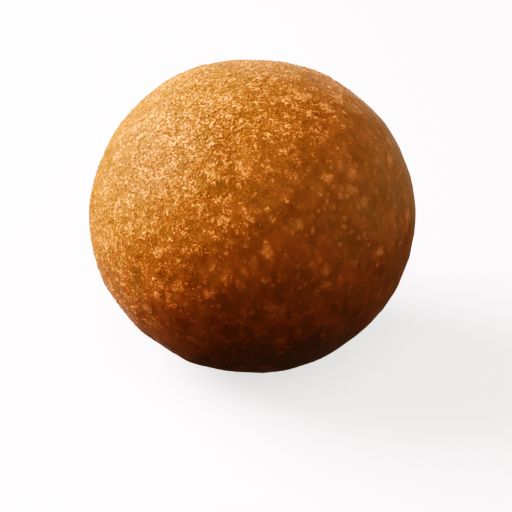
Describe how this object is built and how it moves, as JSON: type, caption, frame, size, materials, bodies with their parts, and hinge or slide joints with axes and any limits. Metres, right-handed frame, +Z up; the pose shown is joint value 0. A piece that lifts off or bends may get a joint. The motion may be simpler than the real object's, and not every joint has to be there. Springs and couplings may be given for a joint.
{
  "type": "mahua ladoo",
  "caption": "Hand-rolled sweet ball of grainy amber paste, slightly flattened on top, standing on a small flat spot.",
  "frame": {"origin": "centre of the bounding box's underside, on the flat spot that the ball rests on", "axes": "+Z up, -Y towards the viewer of the picture, +X to that viewer's right"},
  "size_m": [0.0504, 0.05, 0.0472],
  "materials": {
    "ladoo_paste": "amber sweet paste with pale grains, slightly greasy"
  },
  "bodies": {
    "root": {"ladoo": "ladoo_paste"}
  },
  "joints": []
}
